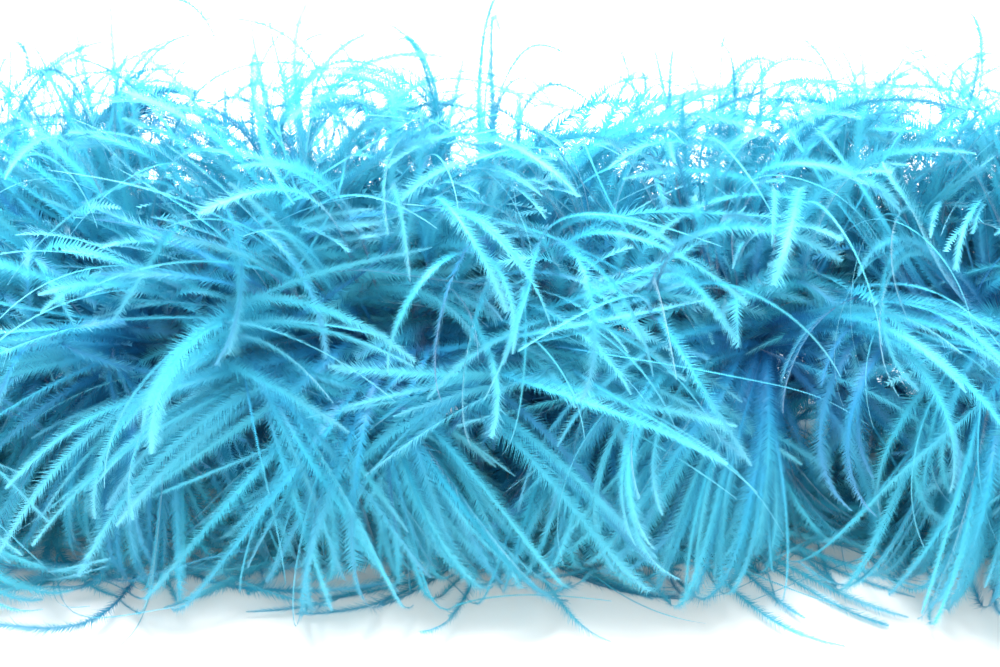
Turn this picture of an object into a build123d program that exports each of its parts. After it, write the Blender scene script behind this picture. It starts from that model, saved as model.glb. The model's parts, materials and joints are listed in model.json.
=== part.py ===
"""Feather boa: a string of feather ruffs on a twisted core, laid straight on a table.

The boa's length runs along X, its core lies at AXIS_HEIGHT over the table, and the table is z = 0.
The origin is under the middle of the boa. Nine equal stretches bend against each other at eight
upright hinge lines through the core, four on each side of the middle stretch.

Each stretch holds three core plies side by side, a row of thread stitches round them that binds the
flues' quill ends, and one ruff: the envelope that the flue tips fill, hollow round the core, flat
underneath where the flues are pressed against the table. Thread whippings and knots close the ends.
"""

import os
from math import pi, radians, sin, tan

from build123d import *

# Whole boa
BOA_LENGTH = 1830
CORE_LENGTH = 1700
STRETCHES_PER_SIDE = 4
AXIS_HEIGHT = 68
BEND_LIMIT = 35  # degrees that one stretch turns against the next

# Ruff
RUFF_RADIUS = 84
RUFF_WALL = 7
SHOULDER = 50  # rounding of a ruff's rim where the next ruff folds towards it
TAIL_ROUND = 70  # rounding of the tufted ends of the boa
HINGE_GAP = 14.5  # from a hinge line to the ruff beside it
BORE_RADIUS = 5.6

# Core
PLIES = ("a", "b", "c")
PLY_RADIUS = 1.6
PLY_CENTRE_RADIUS = 1.9
CORE_GAP = 1.5  # from a hinge line to the ends of the plies

# Thread
THREAD_RADIUS = 0.4
THREAD_CLEARANCE = 0.1
STITCH_PITCH = 12
WHIPPING_LENGTH = 14
WHIPPING_WALL = 1.0

# Knot
KNOT_RADIUS = 6.5
KNOT_SUNK = 1.5  # how far the knot's round end is cut back to sit on the plies

STRETCH = CORE_LENGTH / (2 * STRETCHES_PER_SIDE + 1)
CORE_RADIUS = PLY_CENTRE_RADIUS + PLY_RADIUS
AXIS_PLANE = Plane(origin=(0, 0, AXIS_HEIGHT), x_dir=(1, 0, 0), z_dir=(0, -1, 0))
CORE_AXIS = Axis((0, 0, AXIS_HEIGHT), (1, 0, 0))


def stretch_name(number):
    """left_4 ... left_1, middle, right_1 ... right_4."""
    if number == 0:
        return "middle"
    return f"{'left' if number < 0 else 'right'}_{abs(number)}"


def save(piece, name):
    """Label a finished piece and write it as its own STEP file."""
    piece.label = name
    export_step(piece, f"parts/{name}.step")


def barrel(x_low, x_high, radius, low_round, high_round, floor):
    """Solid of revolution about the core with rounded rims, cut flat at the height floor."""
    with BuildPart() as body:
        with BuildSketch(AXIS_PLANE) as outline:
            with BuildLine():
                Polyline((x_low, 0), (x_low, radius), (x_high, radius), (x_high, 0), close=True)
            make_face()
            low_rim, high_rim = outline.vertices().group_by(Axis.Y)[-1].sort_by(Axis.X)
            fillet(low_rim, low_round)
            high_rim = outline.vertices().group_by(Axis.Y)[-1].sort_by(Axis.X)[-1]
            fillet(high_rim, high_round)
        revolve(axis=CORE_AXIS)
        split(bisect_by=Plane.XY.offset(floor), keep=Keep.TOP)
    return body.part


def make_ruff(number):
    """Hollow envelope of one stretch's flues, with a bore at each end that the core runs through."""
    x_low = (number - 0.5) * STRETCH + HINGE_GAP
    x_high = (number + 0.5) * STRETCH - HINGE_GAP
    low_round = high_round = SHOULDER
    bore_low, bore_high = x_low, x_high
    if number == -STRETCHES_PER_SIDE:
        x_low, low_round, bore_low = -BOA_LENGTH / 2, TAIL_ROUND, x_high - STRETCH / 2
    if number == STRETCHES_PER_SIDE:
        x_high, high_round, bore_high = BOA_LENGTH / 2, TAIL_ROUND, x_low + STRETCH / 2
    hollow = barrel(
        x_low + RUFF_WALL,
        x_high - RUFF_WALL,
        RUFF_RADIUS - RUFF_WALL,
        low_round - RUFF_WALL,
        high_round - RUFF_WALL,
        RUFF_WALL,
    )
    with BuildPart() as ruff:
        add(barrel(x_low, x_high, RUFF_RADIUS, low_round, high_round, 0))
        add(hollow, mode=Mode.SUBTRACT)
        with Locations(((bore_low + bore_high) / 2, 0, AXIS_HEIGHT)):
            Cylinder(BORE_RADIUS, bore_high - bore_low, rotation=(0, 90, 0), mode=Mode.SUBTRACT)
    save(ruff.part, f"feather_ruff_{stretch_name(number)}")


def core_span(number):
    """Where the plies of one stretch start and end; only a hinge line needs a gap."""
    x_low = (number - 0.5) * STRETCH
    x_high = (number + 0.5) * STRETCH
    if number > -STRETCHES_PER_SIDE:
        x_low += CORE_GAP
    if number < STRETCHES_PER_SIDE:
        x_high -= CORE_GAP
    return x_low, x_high


def make_core(number):
    """Three plies side by side round the axis, each a piece of its own."""
    x_low, x_high = core_span(number)
    for turn, letter in enumerate(PLIES):
        with BuildPart() as ply:
            with BuildSketch(Plane.YZ.offset(x_low)):
                with Locations((0, AXIS_HEIGHT)):
                    with PolarLocations(PLY_CENTRE_RADIUS, 1, start_angle=90 + 360 * turn / len(PLIES)):
                        Circle(PLY_RADIUS)
            extrude(amount=x_high - x_low)
        save(ply.part, f"core_ply_{letter}_{stretch_name(number)}")


def make_stitches(number):
    """Rings of thread along one stretch, each a separate turn round the three plies."""
    count = int((STRETCH - 2 * CORE_GAP) / STITCH_PITCH)
    first = number * STRETCH - (count - 1) * STITCH_PITCH / 2
    ring_radius = CORE_RADIUS + THREAD_CLEARANCE + THREAD_RADIUS
    with BuildPart() as stitches:
        for i in range(count):
            x = first + i * STITCH_PITCH
            inside_whipping = abs(x) > CORE_LENGTH / 2 - WHIPPING_LENGTH - 2 * THREAD_RADIUS
            if not inside_whipping:
                with Locations((x, 0, AXIS_HEIGHT)):
                    Torus(ring_radius, THREAD_RADIUS, rotation=(0, 90, 0))
    save(stitches.part, f"stitch_thread_{stretch_name(number)}")


def make_end(side, direction):
    """Thread whipping round the last of the plies, and the knot that they are tied into."""
    end = direction * CORE_LENGTH / 2
    with BuildPart() as whipping:
        with BuildSketch(Plane.YZ.offset(end - direction * WHIPPING_LENGTH / 2)):
            with Locations((0, AXIS_HEIGHT)):
                Circle(CORE_RADIUS + THREAD_CLEARANCE + WHIPPING_WALL)
                Circle(CORE_RADIUS + THREAD_CLEARANCE, mode=Mode.SUBTRACT)
        extrude(amount=WHIPPING_LENGTH / 2, both=True)
    save(whipping.part, f"end_whipping_{side}")

    with BuildPart() as knot:
        with Locations((end + direction * (KNOT_RADIUS - KNOT_SUNK), 0, AXIS_HEIGHT)):
            Sphere(KNOT_RADIUS)
        split(bisect_by=Plane.YZ.offset(end), keep=Keep.TOP if direction > 0 else Keep.BOTTOM)
    save(knot.part, f"end_knot_{side}")


os.makedirs("parts", exist_ok=True)
for stretch in range(-STRETCHES_PER_SIDE, STRETCHES_PER_SIDE + 1):
    make_ruff(stretch)
    make_core(stretch)
    make_stitches(stretch)
make_end("left", -1)
make_end("right", 1)

half_bend = radians(BEND_LIMIT / 2)
flat_rim = RUFF_RADIUS - SHOULDER
rim_needs = SHOULDER * (1 / (1 - sin(half_bend) ** 2) ** 0.5 - 1) + flat_rim * tan(half_bend)
print("ruffs stay clear when a hinge gap is over", round(rim_needs, 2), "mm and it is", HINGE_GAP)
print("ply length", round(CORE_LENGTH), "mm, section", round(len(PLIES) * pi * PLY_RADIUS**2, 1), "mm2")
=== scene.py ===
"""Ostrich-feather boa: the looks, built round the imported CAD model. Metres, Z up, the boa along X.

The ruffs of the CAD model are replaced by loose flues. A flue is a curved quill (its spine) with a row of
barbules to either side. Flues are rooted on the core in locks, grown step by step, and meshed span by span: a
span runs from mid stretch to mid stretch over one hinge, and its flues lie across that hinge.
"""

import json
import math

import bpy
import numpy as np
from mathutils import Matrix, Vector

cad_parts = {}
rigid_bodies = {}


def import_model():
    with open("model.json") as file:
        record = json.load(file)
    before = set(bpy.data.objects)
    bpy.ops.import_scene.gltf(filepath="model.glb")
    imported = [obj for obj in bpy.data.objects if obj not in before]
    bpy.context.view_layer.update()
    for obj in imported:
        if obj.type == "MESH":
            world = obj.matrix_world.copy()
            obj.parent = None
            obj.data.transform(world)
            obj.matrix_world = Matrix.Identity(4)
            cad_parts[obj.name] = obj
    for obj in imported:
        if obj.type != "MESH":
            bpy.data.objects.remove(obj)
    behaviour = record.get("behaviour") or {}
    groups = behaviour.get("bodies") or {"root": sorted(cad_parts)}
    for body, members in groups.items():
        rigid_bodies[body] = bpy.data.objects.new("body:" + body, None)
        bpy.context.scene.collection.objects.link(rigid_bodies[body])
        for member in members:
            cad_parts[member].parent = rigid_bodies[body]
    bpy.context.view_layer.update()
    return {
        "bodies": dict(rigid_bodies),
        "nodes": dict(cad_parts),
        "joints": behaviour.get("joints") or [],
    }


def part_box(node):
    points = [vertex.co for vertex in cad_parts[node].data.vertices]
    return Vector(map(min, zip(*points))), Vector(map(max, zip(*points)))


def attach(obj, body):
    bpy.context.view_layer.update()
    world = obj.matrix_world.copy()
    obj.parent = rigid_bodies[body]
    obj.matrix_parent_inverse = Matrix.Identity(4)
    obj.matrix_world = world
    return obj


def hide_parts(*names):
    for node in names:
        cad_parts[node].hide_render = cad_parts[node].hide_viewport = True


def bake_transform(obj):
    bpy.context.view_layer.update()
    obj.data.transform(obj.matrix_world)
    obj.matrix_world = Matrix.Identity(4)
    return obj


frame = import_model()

# ---------------------------------------------------------------- sizes
SETS, SEEN_SETS = "abc", "abcdef"  # pieces that the flues of one span are shared between
TURN = 2 * math.pi
TABLE_GAP = 0.0003  # lowest place of any flue over the table

# flues
FLUE_LENGTH = (0.082, 0.128)
BARBULE = (0.0032, 0.0064)
WISP_BARBULE = (0.0007, 0.0020)
WISP_LENGTH = (0.095, 0.135)
UNDER_LENGTH = (0.035, 0.070)  # short flues of the undercoat
WISP_LAYER = (0.070, 0.102)  # layers are distances from the core that flues rise to
STANDING_LAYER = (0.075, 0.100)
LYING_LAYER = (0.052, 0.088)
UNDER_LAYER = (0.016, 0.036)
UNDER_THICKENING = 0.022  # where the ruff is seen against the table
SUNK = 0.014  # on the viewer's side the fans lie this far over the flues in between
FLOOR_GAP = (0.0006, 0.006)
FLAT_BELOW = 0.012  # flues nearer to the table than this turn their flat side to it
QUILL_HALF_WIDTH = 0.00022
ROOT_RADIUS = 0.0045
LIFT_ROOM = 0.032  # distance over which a flue eases into its layer
FLOOR_ROOM = 0.016  # and onto the table
FLOOR_PUSH = 130  # how hard the table turns a falling flue level, per metre
FALLING_FREE = 0.85  # how little the hanging flues of the lower half are pressed outwards again
CARRIED = 0.85  # how much of a flue's weight the flues below it carry
SQUEEZE_ACROSS = (0.004, 0.016)  # easing starts this far inside the ruff and ends this far past that
SQUEEZE_UP = (0.007, 0.019)
STEPS = 40
SEEN = 0.225  # half length of the stretch that gets the most flues
REACH_PAST_SPAN = 0.075  # keeps the flues of spans that bend apart clear of each other
LOCK = 7  # flues that lie together
FINE, HIDDEN, COARSE = 260, 140, 62  # barbules in a row: in front, behind, and out of the photographed view
UNDER_FINE, UNDER_PLAIN, UNDER = 150, 50, 28  # the same for the undercoat
BODY = 0.5  # reach of the dense inner barbules as a share of the long hairs
ROOT_PART = 0.16  # share of a flue over which its barbules reach their full length
TAPER = 0.3  # how much shorter they are again at its tip
RAGGED = (0.78, 1.08)  # lengths of single barbules for that of their neighbourhood
BARBULE_LEAN, BARBULE_LIFT = 54, 17  # degrees: off the quill's way, and off the plane of the plume
DENSE_CURVE = 0.7  # most barbules are longer than the middle of their range
FAN_SHARE, FILL_SHARE = 0.56, 0.44  # flues that fan out of partings and flues in between
UPPER = 0.1  # cosine to the view's upward way past which a lock is one of the upper half
STANDING_SHARE = 0.6  # of the upper locks; these stand up and the others lie along the ruff
STANDING_HOLD, LYING_HOLD = 30.0, 75.0  # how hard a flue is drawn to its layer, per metre
CURL = (6, 4)  # mean and spread of how sharply a lock curls, per metre
UPPER_CURL, LOWER_CURL = 1.7, 0.8  # shares of that curl
FLUE_BEND = (2.8, 1.7)  # how far the flues of one lock curl apart, in the upper and the lower half
HANG = (6, 18)  # how hard a flue turns down, per metre
LOWER_LENGTH = 1.18  # flues of the lower half for those of the upper one
FAN_RISE = (6, 62)  # degrees that a fan's locks stand out of the ruff's surface
SEEN_FAN_WEIGHT = 3.6  # locks of a seen parting for one of any other
BACK_FILL_SHARE, BACK = 0.55, math.radians(50)  # more than half of the filling stands to the far upper side
SEEN_FLUES_PER_METRE, FLUES_PER_METRE = 7600, 4700
SEEN_UNDER_PER_METRE, UNDER_PER_METRE = 6000, 3000
SKIRT = "skirt"  # more hanging flues on the spans beyond the seen stretch
SKIRT_PER_METRE = 4200  # before those that don't come down are left out
SKIRT_BELOW_CORE = 0.025  # how far below the core a skirt flue's tip comes down
WISP_SHARE = (0.09, 0.22)  # in the lower and the upper half of the view

# partings: where the twist of the plies opens the ruff and shows the flues' roots
PARTING_PITCH = 0.031
GOLDEN = math.radians(137.5)
FRONT = math.radians(135)  # up and towards the viewer, measured round the core from +Y
TOWARDS_VIEWER = np.array([0.0, math.cos(FRONT), math.sin(FRONT)])
UP_IN_VIEW = np.array([0.0, math.sin(FRONT), -math.cos(FRONT)])
FRONT_SAG = 0.45  # how far the viewer's side of the ruff lies below its full radius
PARTING_RADIUS = 0.007
PARTING_CLEAR_FROM = 0.018  # distance from the core where a seen parting's mouth starts
PARTING_HALF_LENGTH, PARTING_HALF_ANGLE = 0.024, 0.62  # few filling locks stand inside these
PARTING_LEAK = 0.12  # the share that does
FACES_VIEWER = 0.35  # cosine past which a parting shows in the photographed view
WELL_DEPTH, WELL_RADIUS = 0.60, 0.014  # the flues dip round a seen parting
SEEN_PARTINGS = ((-0.104, 0.0), (-0.039, -0.25), (0.080, 0.05), (0.155, -0.55))

# camera and light
VIEW_ELEVATION = math.radians(45)
VIEW_WIDTH = 0.312
LENS, SENSOR = 90.0, 36.0
VIEW_MARGIN = 0.008
VIEW_CELL, CELLS = 0.004, 42  # grid over the photographed view, cells to each side of its middle
OUTER_LAYER = 0.010  # flues this near to the front of their grid cell are in front
FLOOR_SIZE, FLOOR_DROP = 12, 0.0002  # the floor lies just under the table plane of the CAD model

rng = np.random.default_rng(11)


# ---------------------------------------------------------------- frame
joints = sorted(frame["joints"], key=lambda j: j["pos_m"][0])
hinge_x = [j["pos_m"][0] for j in joints]
axis_z = joints[0]["pos_m"][2]


def place_in_row(body):
    """-4 for left_4 up to 4 for right_4."""
    if body == "middle":
        return 0
    side, number = body.split("_")
    return int(number) * (-1 if side == "left" else 1)


bodies = sorted(frame["bodies"], key=place_in_row)
stretch = hinge_x[1] - hinge_x[0]
ruff_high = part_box("feather_ruff_middle")[1]
ruff_radius = ruff_high.y
core_end = hinge_x[-1] + stretch
distance = VIEW_WIDTH / 2 / (SENSOR / 2 / LENS)
target = np.array([0, 0, axis_z + 0.004])


def unit(v):
    return v / np.maximum(np.linalg.norm(v, axis=-1, keepdims=True), 1e-12)


def round_core(angle):
    """Unit vectors square to the core, angle measured from +Y towards +Z."""
    return np.stack([np.zeros_like(angle), np.cos(angle), np.sin(angle)], -1)


# ---------------------------------------------------------------- flues
def spread(low_high, count, power=1.0):
    """Random values of a range; a power over 1 favours its low end and one under 1 its high end."""
    low, high = low_high
    return low + (high - low) * rng.random(count) ** power


def parting_list():
    """Every parting of the ruff as (x, angle round the core, 1 if it is one of the seen ones)."""
    found = [(x, FRONT + turn, 1.0) for x, turn in SEEN_PARTINGS]
    count = int(2 * core_end / PARTING_PITCH)
    for i in range(count):
        x = -core_end + (i + 0.5) * PARTING_PITCH + rng.uniform(-0.006, 0.006)
        angle = i * GOLDEN
        faces_viewer = math.cos(angle - FRONT) > FACES_VIEWER
        if abs(x) < SEEN and faces_viewer:
            angle += math.pi * rng.uniform(0.8, 1.2)
        found.append((x, angle, 0.0))
    return np.array(sorted(found))


def well(point, partings):
    """How much of its full radius the ruff keeps at each point: less near a seen parting."""
    kept = np.ones(len(point))
    for x, angle, seen_one in partings:
        if seen_one:
            ahead = np.array([0, math.cos(angle), math.sin(angle)])
            arm = point - np.array([x, 0, axis_z])
            off = arm - (arm @ ahead)[:, None] * ahead
            gap = (off**2).sum(1) / (2 * WELL_RADIUS**2) + np.where(arm @ ahead < 0, 9, 0)
            kept = np.minimum(kept, 1 - WELL_DEPTH * np.exp(-gap))
    return kept[:, None]


GROWN_FROM = ("root", "way", "length", "bend", "hang", "hold", "rest_radius", "floor_gap")


def grow(root, way, length, bend, hang, hold, rest_radius, floor_gap, partings):
    """Spines of many flues at once: each leaves the core, rises to its own layer of the ruff, lies along it
    and hangs or lies on the table. Returns points and headings, (flue, step, xyz)."""
    count = len(root)
    points = np.empty((count, STEPS + 1, 3))
    ways = np.empty_like(points)
    point, way = root.copy(), unit(way)
    step = (length / STEPS)[:, None]
    strength = np.linalg.norm(bend, axis=1, keepdims=True)
    down = np.array([0.0, 0.0, -1.0])
    for k in range(STEPS + 1):
        points[:, k], ways[:, k] = point, way
        t = k / STEPS
        out = point - np.array([0, 0, axis_z])
        out[:, 0] = 0
        radius = np.linalg.norm(out, axis=1, keepdims=True)
        out = out / np.maximum(radius, 1e-6)
        sag = 1 - FRONT_SAG * np.clip(out @ TOWARDS_VIEWER, 0, 1)[:, None] ** 2
        free = FALLING_FREE * np.clip(-out @ UP_IN_VIEW, 0, 1)[:, None]
        lift = np.clip((rest_radius[:, None] * sag * well(point, partings) - radius) / LIFT_ROOM, free - 1, 1)
        rising = (way * out).sum(1, keepdims=True)
        held = (hold * min(1, 0.2 + 1.8 * t))[:, None]
        pull = down - CARRIED * (down * out).sum(1, keepdims=True) * out
        way = way + step * (hang[:, None] * (0.25 + 0.75 * t) * pull + (0.35 + 1.3 * t) * bend
                            + held * (0.9 * lift - rising) * out)
        near_floor = np.clip(1 - (point[:, 2] - floor_gap) / FLOOR_ROOM, 0, 1)
        way[:, 2] += step[:, 0] * FLOOR_PUSH * near_floor * np.maximum(-way[:, 2], 0)
        way = unit(way)
        bend = unit(bend - (bend * way).sum(1, keepdims=True) * way) * strength
        point = point + way * step
        low = point[:, 2] < floor_gap
        point[low, 2] = floor_gap[low]
        way[low, 2] = np.maximum(way[low, 2], 0.02)
        way = unit(way)
    return points, ways


def between(points, ways, length, samples):
    """Cubic points and headings at evenly spaced samples along spines known at STEPS + 1 places."""
    t = np.linspace(0, STEPS, samples)
    k = np.minimum(t.astype(int), STEPS - 1)
    f = (t - k)[None, :, None]
    step = (length / STEPS)[:, None, None]
    a, b, u, v = points[:, k], points[:, k + 1], ways[:, k] * step, ways[:, k + 1] * step
    at = ((2 * f**3 - 3 * f**2 + 1) * a + (f**3 - 2 * f**2 + f) * u
          + (3 * f**2 - 2 * f**3) * b + (f**3 - f**2) * v)
    return at, unit(ways[:, k] * (1 - f) + ways[:, k + 1] * f)


def eased(values, limit, room):
    """Leaves values up to the limit alone and lets larger ones creep at most room past it."""
    over = np.maximum(values - limit, 0)
    return np.minimum(values, limit) + room * (1 - np.exp(-over / room))


def squeezed(block):
    """Keeps the longest wisps near the ruff's envelope and everything on the table."""
    across = block[..., 1]
    inside, past = SQUEEZE_ACROSS
    block[..., 1] = np.sign(across) * eased(np.abs(across), ruff_radius - inside, past)
    inside, past = SQUEEZE_UP
    block[..., 2] = np.maximum(eased(block[..., 2], ruff_high.z - inside, past), TABLE_GAP)
    return block


def waves(t, count, turns, size):
    """A slow wave along each flue, so that its barbules change together."""
    return size * np.sin(TURN * (turns * t + rng.random((count, 1, 1))))


def vanes(flues, points, ways, barbules, hairs):
    """Vertices, triangles and UVs of many flues. Each is a spine whose points carry a barbule to either side,
    and where hairs are asked for a row of longer, thinner ones as well."""
    step = 2 if hairs else 1
    rows = ((BODY, step), (1.0, 1)) if hairs else ((1.0, 1),)
    spine, way = between(points, ways, flues["length"], step * barbules + 1)
    count, places = spine.shape[:2]
    t = np.linspace(0, 1, places)[None, :, None]

    out = spine - np.array([0, 0, axis_z])
    out[..., 0] = 0
    out = unit(out)
    on_table = np.clip(1 - spine[..., 2:3] / FLAT_BELOW, 0, 1)
    out = unit(out * (1 - on_table) + np.array([0, 0, 1.0]) * on_table)
    side = unit(np.cross(way, out))
    face = np.cross(side, way)
    roll = (flues["roll"][:, None, None] + flues["twist"][:, None, None] * t) * (1 - 0.8 * on_table)
    side, face = (side * np.cos(roll) + face * np.sin(roll), face * np.cos(roll) - side * np.sin(roll))

    t, foot, way, side, face = (v[:, :-1:step] for v in (t, spine, way, side, face))
    full = np.clip(t / ROOT_PART, 0, 1) ** 0.7 * (1 - TAPER * t)
    fade = flues["bare_from"][:, None, None]
    full = full * np.clip((1 - t) / np.maximum(1 - fade, 0.02), 0, 1) ** 0.6
    reach = flues["barbule"][:, None, None] * full
    tips, first = [], np.arange(barbules) * step
    faces, painted_light = [], [np.zeros((count, places))]
    for share, base in rows:
        for hand in (-1, 1):
            lean = rng.normal(BARBULE_LEAN, 6, (count, 1, 1)) - 16 * t + waves(t, count, 3, 5)
            lean = np.radians(lean + rng.normal(0, 4.5, (count, barbules, 1)))
            lift = rng.normal(BARBULE_LIFT, 9, (count, 1, 1)) + waves(t, count, 2, 9)
            lift = np.radians(lift + rng.normal(0, 9.0, (count, barbules, 1)))
            across = side * np.cos(lift) * hand + face * np.sin(lift)
            long = reach * share * (1 + waves(t, count, 5, 0.1))
            long *= rng.uniform(*RAGGED, (count, barbules, 1))
            tip = places + len(tips) * barbules + np.arange(barbules)
            ends = (first, first + base) if hand < 0 else (first + base, first)
            faces.append(np.stack([*ends, tip], 1))
            tips.append(foot + (QUILL_HALF_WIDTH + long) * (way * np.cos(lean) + across * np.sin(lean)))
            # painted light: each barbule runs from dark at the quill to bright at its tip, painted shade
            # along the quill and a painted highlight on the edges of the plume; the dense inner row gets less
            # of it, as painted shade
            painted_light.append(rng.uniform(0.3, 1.0, (count, barbules)) * (share**2 if hairs else 1))

    block = squeezed(np.concatenate([spine] + tips, 1))
    pattern = np.concatenate(faces)
    faces = (pattern[None] + (np.arange(count) * block.shape[1])[:, None, None]).reshape(-1, 3)
    along = np.concatenate([np.linspace(0, 1, places)] + [(np.arange(barbules) + 0.5) / barbules] * len(tips))
    # the flue's own tone plus the painted light of its barbules
    tone_and_painted_light = np.clip(flues["tone_and_painted_light"][:, None] * 0.75 + 0.32 * np.concatenate(painted_light, 1), 0.002, 0.998)
    uv = np.stack([tone_and_painted_light, np.broadcast_to(np.clip(along, 0.002, 0.998), tone_and_painted_light.shape)], -1)
    return block.reshape(-1, 3), faces, uv.reshape(-1, 2)


def clear_of_partings(points, partings):
    """False for the flues that would close the mouth of a seen parting."""
    keep = np.ones(len(points), bool)
    for x, angle, seen_one in partings:
        if seen_one:
            ahead = np.array([0, math.cos(angle), math.sin(angle)])
            arm = points - np.array([x, 0, axis_z])
            up = arm @ ahead
            gap = np.linalg.norm(arm - up[..., None] * ahead, axis=2)
            keep &= ~((up > PARTING_CLEAR_FROM) & (gap < PARTING_RADIUS)).any(1)
    return keep


def view_cells(points):
    """Where spine points fall in a grid over the photographed view, and how near the viewer they are."""
    arm = points - target
    depth = arm @ TOWARDS_VIEWER
    scale = distance / (distance - depth)
    across = np.clip((arm[..., 0] * scale / VIEW_CELL).astype(int) + CELLS, 0, 2 * CELLS)
    up = np.clip((arm @ UP_IN_VIEW * scale / VIEW_CELL).astype(int) + CELLS, 0, 2 * CELLS)
    return across, up, depth


def in_front(points, front):
    """The share of each flue that lies in the outer layer of the photographed view."""
    across, up, depth = view_cells(points)
    shown = (across > 0) & (across < 2 * CELLS) & (depth > front[across, up] - OUTER_LAYER)
    return shown.mean(1)


def feather_mesh(flues, points, ways, front):
    """The flues of one piece as arrays; those in front in the photographed view get the finest barbules."""
    share = in_front(points, front)
    in_view = np.abs(points[:, :, 0]).min(1) < VIEW_WIDTH / 2 + VIEW_MARGIN
    under_samples = np.where(share > 0.05, UNDER_FINE, np.where(in_view, UNDER_PLAIN, UNDER))
    full_samples = np.where(share > 0, FINE, np.where(in_view, HIDDEN, COARSE))
    samples = np.where(flues["under"], under_samples, full_samples)
    verts, faces, uvs, base = [], [], [], 0
    for barbules in np.unique(samples):
        group = samples == barbules
        v, f, uv = vanes({k: x[group] for k, x in flues.items()}, points[group], ways[group],
                         barbules, barbules == FINE)
        verts.append(v)
        faces.append(f + base)
        uvs.append(uv)
        base += len(v)
    return np.concatenate(verts), np.concatenate(faces), np.concatenate(uvs)


def make_mesh(name, verts, faces, uv, material):
    mesh = bpy.data.meshes.new(name)
    mesh.vertices.add(len(verts))
    mesh.vertices.foreach_set("co", verts.astype(np.float32).ravel())
    mesh.loops.add(len(faces) * 3)
    mesh.loops.foreach_set("vertex_index", faces.astype(np.int32).ravel())
    mesh.polygons.add(len(faces))
    mesh.polygons.foreach_set("loop_start", np.arange(len(faces), dtype=np.int32) * 3)
    mesh.update(calc_edges=True)
    layer = mesh.uv_layers.new(name="OFBake")
    layer.data.foreach_set("uv", uv[faces.ravel()].astype(np.float32).ravel())
    mesh.materials.append(material)
    piece = bpy.data.objects.new(name, mesh)
    bpy.context.collection.objects.link(piece)
    return piece


def fanned(low, high, count, partings):
    """Locks that fan out of the partings, all round each, over the surface of the ruff."""
    near = partings[(partings[:, 0] > low - 0.012) & (partings[:, 0] < high + 0.012)]
    weight = np.where(near[:, 2] > 0, SEEN_FAN_WEIGHT, 1.0)
    pick = near[rng.choice(len(near), count, p=weight / weight.sum())]
    x = np.clip(pick[:, 0] + rng.normal(0, 0.006, count) * (1 - 0.5 * pick[:, 2]), low, high)
    facing = pick[:, 1] + rng.normal(0, 0.22, count)
    around = rng.uniform(0, TURN, count)
    rise = np.radians(rng.uniform(*FAN_RISE, count))
    ahead, across = round_core(facing), round_core(facing + math.pi / 2)
    way = ((np.cos(rise) * np.cos(around))[:, None] * np.array([1.0, 0, 0])
           + (np.cos(rise) * np.sin(around))[:, None] * across + np.sin(rise)[:, None] * ahead)
    return np.stack([x, 0 * x, 0 * x + axis_z], 1) + ROOT_RADIUS * ahead, way, np.zeros(count)


def filling(low, high, count, partings):
    """Locks that stand out of the core everywhere but into a parting."""
    near = partings[(partings[:, 0] > low - 0.05) & (partings[:, 0] < high + 0.05)]
    x = rng.uniform(low, high, count)
    facing = np.where(rng.random(count) < BACK_FILL_SHARE, rng.normal(BACK, 0.45, count),
                      rng.uniform(0, TURN, count))
    lean = np.clip(rng.normal(0, 0.5, count), -1.2, 1.2)
    gap_x = np.abs(x[:, None] + 0.05 * np.sin(lean)[:, None] - near[None, :, 0])
    gap_a = np.abs((facing[:, None] - near[None, :, 1] + math.pi) % TURN - math.pi)
    in_parting = ((gap_x < PARTING_HALF_LENGTH) & (gap_a < PARTING_HALF_ANGLE)).any(1)
    keep = ~in_parting | (rng.random(count) < PARTING_LEAK)
    x, facing, lean = x[keep], facing[keep], lean[keep]
    ahead = round_core(facing)
    way = ahead * np.cos(lean)[:, None] + np.sin(lean)[:, None] * np.array([1.0, 0, 0])
    sunk = SUNK * np.clip(np.cos(facing - FRONT) * 1.6, 0, 1)
    return np.stack([x, 0 * x, 0 * x + axis_z], 1) + ROOT_RADIUS * ahead, way, sunk


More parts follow.
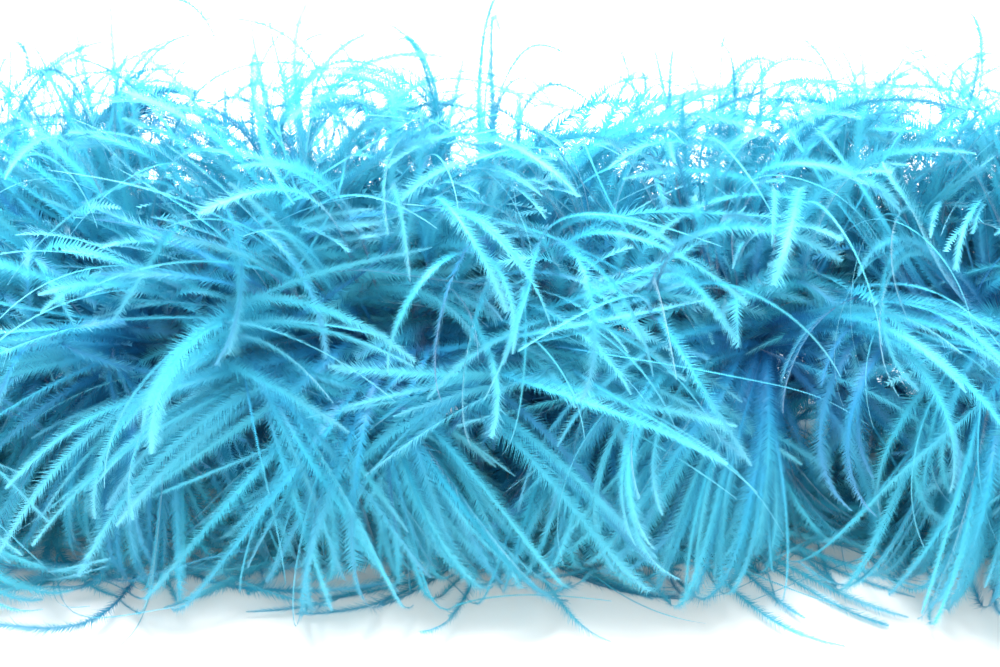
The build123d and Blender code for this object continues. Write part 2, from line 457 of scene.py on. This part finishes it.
def scatter(low, high, per_metre, under_per_metre, partings):
    """The flues rooted between two places along the core: locks that lie and curl alike, over short ones."""
    locks = int((high - low) * per_metre / LOCK)
    under_locks = int((high - low) * under_per_metre / LOCK)
    sets = (fanned(low, high, int(locks * FAN_SHARE), partings),
            filling(low, high, int(locks * FILL_SHARE), partings),
            filling(low, high, under_locks, partings[:0]))
    root, way, sunk = (np.concatenate(both) for both in zip(*sets))
    under_lock = np.arange(len(root)) >= len(sets[0][0]) + len(sets[1][0])
    locks = len(root)
    way = unit(way)
    curl = rng.normal(0, 1, (locks, 3))
    curl = unit(curl - (curl * way).sum(1, keepdims=True) * way) * np.abs(rng.normal(*CURL, locks))[:, None]
    upper = way @ UP_IN_VIEW > UPPER
    hang = spread(HANG, locks) * (1 + 3.5 * np.clip(-2 * (way @ UP_IN_VIEW), 0, 1))
    curl *= np.where(upper, UPPER_CURL, LOWER_CURL)[:, None]
    standing = upper & (rng.random(locks) < STANDING_SHARE) & ~under_lock
    # the undercoat is deeper where the ruff is seen against the table
    thick = UNDER_THICKENING * upper * np.clip(1 - 2.5 * np.maximum(way @ TOWARDS_VIEWER, 0), 0, 1)
    layer = np.where(under_lock, spread(UNDER_LAYER, locks) + thick, spread(LYING_LAYER, locks, 0.5) - sunk)
    layer = np.where(standing, spread(STANDING_LAYER, locks), layer)
    edge_on = 1 - np.abs(way @ TOWARDS_VIEWER)
    roll = rng.normal(0, 0.35, locks) + rng.normal(0, 1.1, locks) * np.clip(edge_on * 1.5 - 0.5, 0, 1)
    shade = rng.normal(0.42, 0.15, locks)
    broad = 1.12 * rng.uniform(0.85, 1.15, locks) * np.where(under_lock, 0.8, 1.0)

    of = np.repeat(np.arange(locks), LOCK)
    count = len(of)
    under = under_lock[of]
    wisp = (rng.random(count) < np.where(upper[of], WISP_SHARE[1], WISP_SHARE[0])) & ~under
    length = np.where(wisp, spread(WISP_LENGTH, count), spread(FLUE_LENGTH, count))
    length *= np.where(upper[of], 1.0, LOWER_LENGTH)
    return {
        "root": root[of] + rng.normal(0, 0.0015, (count, 3)),
        "way": unit(way[of] + rng.normal(0, 0.09, (count, 3))),
        "length": np.where(under, spread(UNDER_LENGTH, count) + thick[of], length),
        "bend": curl[of] + rng.normal(0, 1, (count, 3)) * np.where(upper[of], *FLUE_BEND)[:, None],
        "hang": hang[of] * rng.uniform(0.8, 1.2, count),
        "hold": np.where(standing, STANDING_HOLD, LYING_HOLD)[of],
        "rest_radius": np.where(wisp, spread(WISP_LAYER, count),
                                np.clip(layer[of] + rng.normal(0, 0.004, count), 0.015, WISP_LAYER[1])),
        "floor_gap": spread(FLOOR_GAP, count, 2.0),
        "roll": roll[of] + rng.normal(0, 0.4, count),
        "twist": rng.normal(0, 0.7, count),
        "bare_from": np.where(wisp, 0.6, spread((0.80, 1.0), count, 0.5)),
        "barbule": np.where(wisp, spread(WISP_BARBULE, count),
                            spread(BARBULE, count, DENSE_CURVE) * broad[of]),
        # painted shade: undercoat flues are darker, far more in the lower half, for the shade in the gaps
        # between flues; wisps are paler, partly their own tone and partly a painted highlight; the rest keep
        # their lock's random tone
        "tone_and_painted_light": np.clip(np.where(wisp, rng.normal(0.72, 0.1, count),
                                 shade[of] + rng.normal(0, 0.1, count)
                                 - under * np.where(upper[of], 0.1, 0.5)), 0, 1),
        "under": under,
    }


# ---------------------------------------------------------------- materials
def node(tree, kind, **values):
    made = tree.nodes.new(kind)
    for key, value in values.items():
        if key in made.inputs:
            made.inputs[key].default_value = value
        else:
            setattr(made, key, value)
    return made


def ramp(tree, stops):
    made = tree.nodes.new("ShaderNodeValToRGB")
    elements = made.color_ramp.elements
    while len(elements) < len(stops):
        elements.new(0.5)
    for element, (place, colour) in zip(elements, stops):
        element.position = place
        element.color = (*colour, 1)
    return made


def flue_material():
    """Dyed flue with painted light: deeper at the root, painted shade for the depths of the ruff; paler at
    the tip, partly the dye and partly a painted highlight; each flue with its own shade, darker for the
    undercoat as painted shade.
    """
    made = bpy.data.materials.new("dyed_flue_painted_light")
    made.use_nodes = True
    tree = made.node_tree
    tree.nodes.clear()
    out = node(tree, "ShaderNodeOutputMaterial")
    uv = node(tree, "ShaderNodeUVMap", uv_map="OFBake")
    split = node(tree, "ShaderNodeSeparateXYZ")
    tree.links.new(uv.outputs["UV"], split.inputs["Vector"])
    # painted shade and highlight: the colour from root to tip, darker and bluer at the root as painted shade
    # for the depths of the ruff, paler at the tip, partly the dye and partly a painted highlight
    along = ramp(tree, [(0.0, (0.006, 0.15, 0.41)), (0.2, (0.014, 0.275, 0.51)), (0.42, (0.036, 0.44, 0.60)),
                        (0.75, (0.066, 0.55, 0.68)), (1.0, (0.145, 0.62, 0.76))])
    # painted light: low tones darken and blue the colour, painted shade for the undercoat in the gaps and
    # along the quills; high tones lift it towards white, a painted highlight on the barbule tips; each flue's
    # own random tone lies in between
    shade = ramp(tree, [(0.0, (0.28, 0.41, 0.64)), (0.2, (0.66, 0.73, 0.82)), (0.4, (0.86, 0.89, 0.94)),
                        (0.75, (1.08, 0.88, 0.97)), (1.0, (1.6, 0.86, 0.99))])
    tree.links.new(split.outputs["Y"], along.inputs["Fac"])
    tree.links.new(split.outputs["X"], shade.inputs["Fac"])
    mix = node(tree, "ShaderNodeMix", data_type="RGBA", blend_type="MULTIPLY")
    mix.inputs["Factor"].default_value = 1.0
    tree.links.new(along.outputs["Color"], mix.inputs["A"])
    tree.links.new(shade.outputs["Color"], mix.inputs["B"])
    colour = mix.outputs["Result"]
    surface = node(tree, "ShaderNodeBsdfPrincipled", Roughness=0.52)
    surface.inputs["Specular IOR Level"].default_value = 0.35
    surface.inputs["Sheen Weight"].default_value = 0.25
    surface.inputs["Sheen Roughness"].default_value = 0.4
    tree.links.new(colour, surface.inputs["Base Color"])
    through = node(tree, "ShaderNodeBsdfTranslucent")
    tree.links.new(colour, through.inputs["Color"])
    both = node(tree, "ShaderNodeMixShader")
    both.inputs["Fac"].default_value = 0.25
    tree.links.new(surface.outputs[0], both.inputs[1])
    tree.links.new(through.outputs[0], both.inputs[2])
    tree.links.new(both.outputs[0], out.inputs["Surface"])
    return made


def string_material(name, dark, light, scale):
    """Twisted dyed string with painted shade: bands of light and dark along the twist, the dark ones painted
    shade in the grooves of the twist.
    """
    made = bpy.data.materials.new(name)
    made.use_nodes = True
    tree = made.node_tree
    surface = tree.nodes["Principled BSDF"]
    place = node(tree, "ShaderNodeTexCoord")
    wave = node(tree, "ShaderNodeTexWave", wave_type="BANDS", bands_direction="DIAGONAL")
    wave.inputs["Scale"].default_value = scale
    wave.inputs["Distortion"].default_value = 1.5
    shades = ramp(tree, [(0.0, dark), (1.0, light)])
    tree.links.new(place.outputs["Object"], wave.inputs["Vector"])
    tree.links.new(wave.outputs["Fac"], shades.inputs["Fac"])
    tree.links.new(shades.outputs["Color"], surface.inputs["Base Color"])
    surface.inputs["Roughness"].default_value = 0.8
    return made


# ---------------------------------------------------------------- build
flue_dye_and_painted_light = flue_material()
cord = string_material("dyed_cord_painted_groove_shade", (0.01, 0.16, 0.28), (0.04, 0.38, 0.55), 320)
thread = string_material("dyed_thread_painted_groove_shade", (0.01, 0.12, 0.22), (0.03, 0.28, 0.44), 600)
for name, obj in frame["nodes"].items():
    if name.startswith(("core_ply", "end_knot")):
        obj.data.materials.clear()
        obj.data.materials.append(cord)
    elif name.startswith(("stitch_thread", "end_whipping")):
        obj.data.materials.clear()
        obj.data.materials.append(thread)

partings = parting_list()
mid_stretches = [hinge_x[0] - stretch / 2] + [x + stretch / 2 for x in hinge_x]
marks = [-core_end] + mid_stretches + [core_end]


def rides(number):
    """The bodies at the two ends of a span; the half stretches at the boa's ends ride one body."""
    return bodies[max(number - 1, 0)], bodies[min(number, len(bodies) - 1)]


spans = list(enumerate(zip(marks, marks[1:])))
batches, skirts = [], []  # what is rooted where, and how densely
for number, ends in spans:
    if max(np.abs(ends)) > SEEN:
        densities = FLUES_PER_METRE / len(SETS), UNDER_PER_METRE / len(SETS)
        batches += [(part, number, *ends, *densities) for part in SETS]
        skirts.append((SKIRT, number, *ends, SKIRT_PER_METRE, 0))
    else:
        densities = SEEN_FLUES_PER_METRE / len(SEEN_SETS), SEEN_UNDER_PER_METRE / len(SEEN_SETS)
        batches += [(part, number, *ends, *densities) for part in SEEN_SETS]

grown = []
front = np.full((2 * CELLS + 1, 2 * CELLS + 1), -np.inf)  # nearest flue in each cell of the photographed view
for part, number, low, high, per_metre, under_per_metre in batches + skirts:
    flues = scatter(low, high, per_metre, under_per_metre, partings)
    points, ways = grow(*[flues[key] for key in GROWN_FROM], partings)
    keep = clear_of_partings(points, partings)
    if number > 0:
        keep &= points[..., 0].min(1) > low - REACH_PAST_SPAN
    if number < len(spans) - 1:
        keep &= points[..., 0].max(1) < high + REACH_PAST_SPAN
    if part == SKIRT:
        keep &= points[:, -1, 2] < axis_z - SKIRT_BELOW_CORE
    points, ways, flues = points[keep], ways[keep], {k: x[keep] for k, x in flues.items()}
    grown.append((part, number, flues, points, ways))
    across, up, depth = view_cells(points)
    np.maximum.at(front, (across, up), depth)

for part, number, flues, points, ways in grown:
    first, second = rides(number)
    piece = make_mesh(f"flues_{part}_{number}", *feather_mesh(flues, points, ways, front), flue_dye_and_painted_light)
    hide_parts(*sorted({f"feather_ruff_{first}", f"feather_ruff_{second}"}))
    if first == second:
        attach(piece, first)
    else:
        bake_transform(piece)


# ---------------------------------------------------------------- stage, light, camera
def plane(name, size, place):
    mesh = bpy.data.meshes.new(name)
    corner = size / 2
    mesh.from_pydata([(-corner, -corner, 0), (corner, -corner, 0), (corner, corner, 0), (-corner, corner, 0)],
                     [], [(0, 1, 2, 3)])
    made = bpy.data.objects.new(name, mesh)
    made.location = place
    bpy.context.collection.objects.link(made)
    return made


floor = plane("floor", FLOOR_SIZE, (0, 0, -FLOOR_DROP))
paper = bpy.data.materials.new("white_table")
paper.use_nodes = True
paper.node_tree.nodes["Principled BSDF"].inputs["Base Color"].default_value = (0.97, 0.965, 0.96, 1)
paper.node_tree.nodes["Principled BSDF"].inputs["Roughness"].default_value = 0.9
floor.data.materials.append(paper)


def area_light(name, place, size, power, colour=(1, 1, 1)):
    data = bpy.data.lights.new(name, "AREA")
    data.shape = "DISK"
    data.size, data.energy, data.color = size, power, colour
    made = bpy.data.objects.new(name, data)
    made.location = place
    direction = np.array([0, 0, 0.05]) - np.array(place)
    made.rotation_euler = (math.atan2(math.hypot(direction[0], direction[1]), -direction[2]), 0,
                           math.atan2(direction[1], direction[0]) - math.pi / 2)
    bpy.context.collection.objects.link(made)
    return made


area_light("overhead", (-0.2, 0.5, 1.8), 1.1, 142)
area_light("front_fill", (0.3, -1.6, 0.9), 1.6, 23, (1.0, 0.97, 0.84))
world = bpy.data.worlds.new("studio")
world.use_nodes = True
world.node_tree.nodes["Background"].inputs["Color"].default_value = (1, 1, 1, 1)
world.node_tree.nodes["Background"].inputs["Strength"].default_value = 0.70
bpy.context.scene.world = world
bpy.context.scene.view_settings.view_transform = "Standard"

camera_data = bpy.data.cameras.new("camera")
camera_data.lens, camera_data.sensor_width = LENS, SENSOR
camera = bpy.data.objects.new("camera", camera_data)
bpy.context.collection.objects.link(camera)
back = np.array([0, -math.cos(VIEW_ELEVATION), math.sin(VIEW_ELEVATION)])
camera.location = target + back * distance
camera.rotation_euler = (math.pi / 2 - VIEW_ELEVATION, 0, 0)
camera_data.clip_start = 0.01
bpy.context.scene.camera = camera
